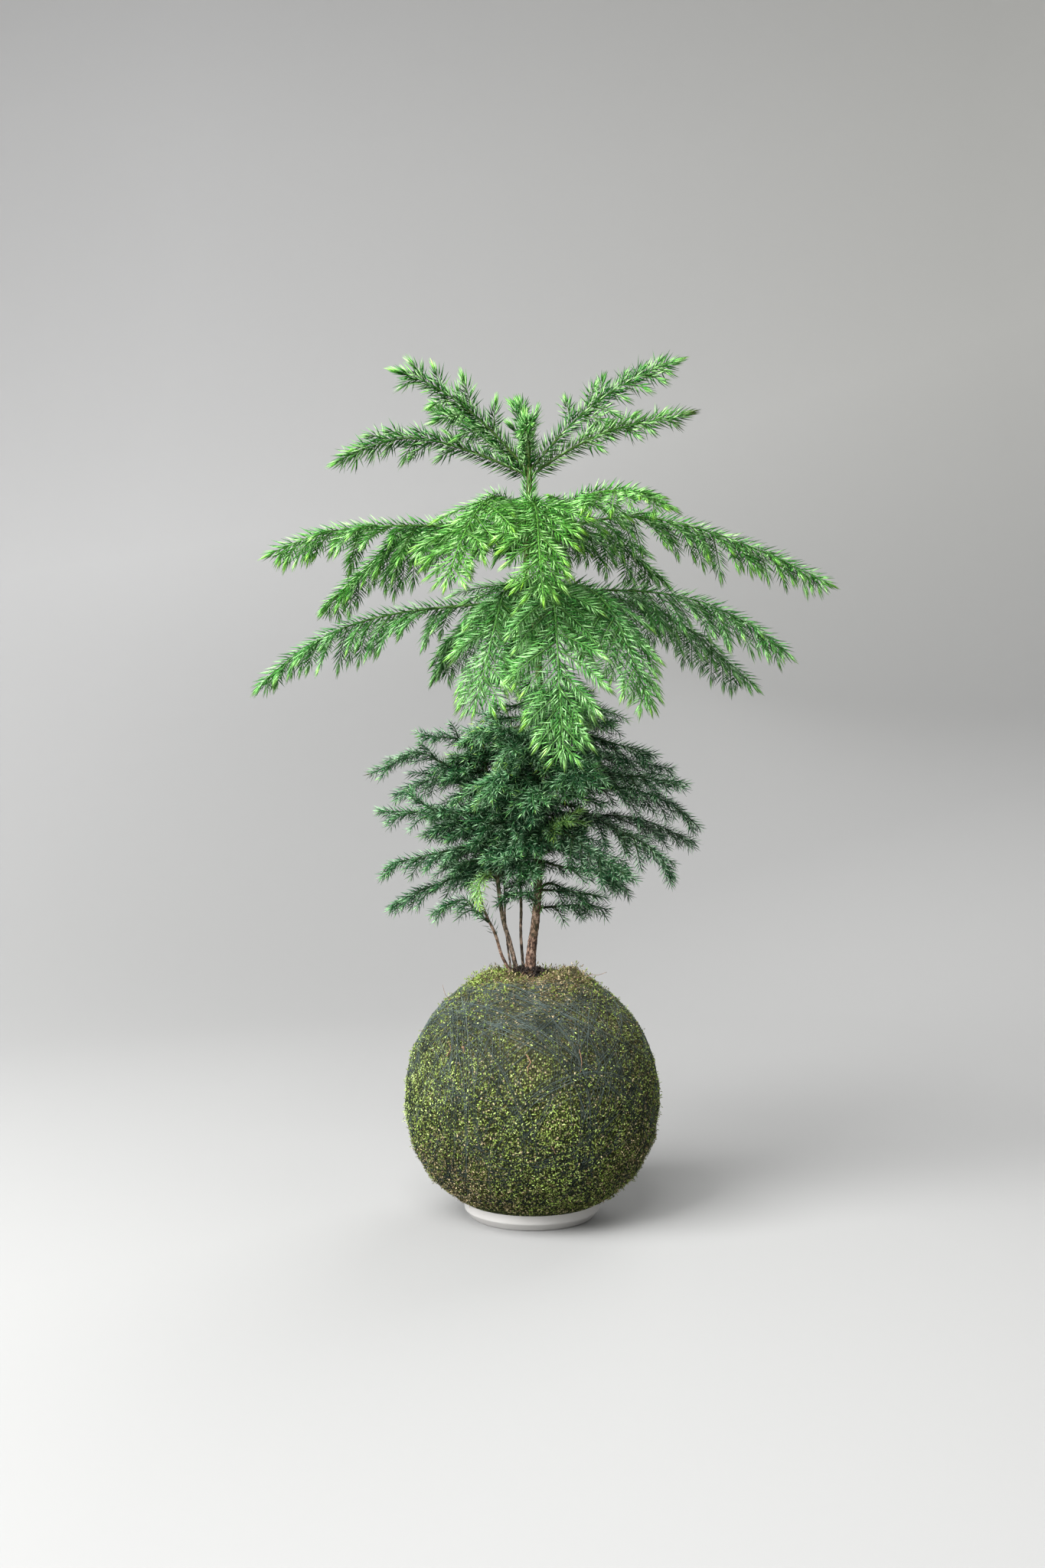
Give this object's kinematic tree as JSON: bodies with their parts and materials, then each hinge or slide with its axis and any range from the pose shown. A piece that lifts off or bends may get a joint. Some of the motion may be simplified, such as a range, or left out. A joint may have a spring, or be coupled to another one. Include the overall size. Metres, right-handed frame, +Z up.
{
  "type": "kokedama moss ball plant",
  "caption": "Young Norfolk Island pine growing from a thread-bound moss ball that stands in a low round ceramic dish.",
  "frame": {"origin": "centre of the saucer's flat underside, on the axis of the moss ball", "axes": "+Z up the stems, -Y towards the front of the plant, +X to its right seen from the front"},
  "size_m": [0.4144, 0.2778, 0.6189],
  "materials": {
    "white_glaze": "satin",
    "moss": "matte",
    "soil": "matte",
    "thread": "matte",
    "red_bark": "matte",
    "grey_bark": "matte",
    "young_needles": "satin",
    "full_needles": "satin",
    "shaded_needles": "satin"
  },
  "bodies": {
    "root": {"saucer": "white_glaze", "moss_jacket": "moss", "soil_ball": "soil", "binding_thread": "thread", "stem_trunk": "red_bark", "stem_left": "red_bark", "stem_thin": "grey_bark", "stem_mid": "grey_bark", "stem_slim": "grey_bark", "frond_crown_1": "young_needles", "frond_crown_2": "young_needles", "frond_crown_3": "young_needles", "frond_crown_4": "young_needles", "frond_crown_5": "young_needles", "frond_crown_6": "young_needles", "frond_crown_7": "young_needles", "frond_upper_1": "young_needles", "frond_upper_2": "young_needles", "frond_upper_3": "young_needles", "frond_upper_4": "young_needles", "frond_upper_5": "young_needles", "frond_upper_6": "young_needles", "frond_upper_7": "young_needles", "frond_upper_8": "young_needles", "frond_middle_1": "full_needles", "frond_middle_2": "full_needles", "frond_middle_3": "full_needles", "frond_middle_4": "full_needles", "frond_middle_5": "full_needles", "frond_middle_6": "full_needles", "frond_middle_7": "full_needles", "frond_middle_8": "full_needles", "frond_middle_9": "full_needles", "frond_low_1": "shaded_needles", "frond_low_2": "shaded_needles", "frond_low_3": "shaded_needles", "frond_low_4": "shaded_needles", "frond_low_5": "shaded_needles", "frond_low_6": "shaded_needles", "frond_low_7": "shaded_needles", "frond_low_8": "shaded_needles", "frond_low_9": "shaded_needles", "frond_low_10": "shaded_needles", "frond_low_11": "shaded_needles", "frond_low_12": "shaded_needles", "frond_low_13": "shaded_needles", "frond_low_14": "shaded_needles", "frond_low_15": "shaded_needles", "frond_right_1": "shaded_needles", "frond_right_2": "shaded_needles", "frond_right_3": "shaded_needles", "frond_right_4": "shaded_needles", "frond_right_5": "shaded_needles", "frond_right_6": "shaded_needles", "frond_right_7": "shaded_needles", "frond_right_8": "shaded_needles", "frond_right_9": "shaded_needles", "frond_right_10": "shaded_needles", "frond_right_11": "shaded_needles", "frond_right_12": "shaded_needles"}
  },
  "joints": []
}
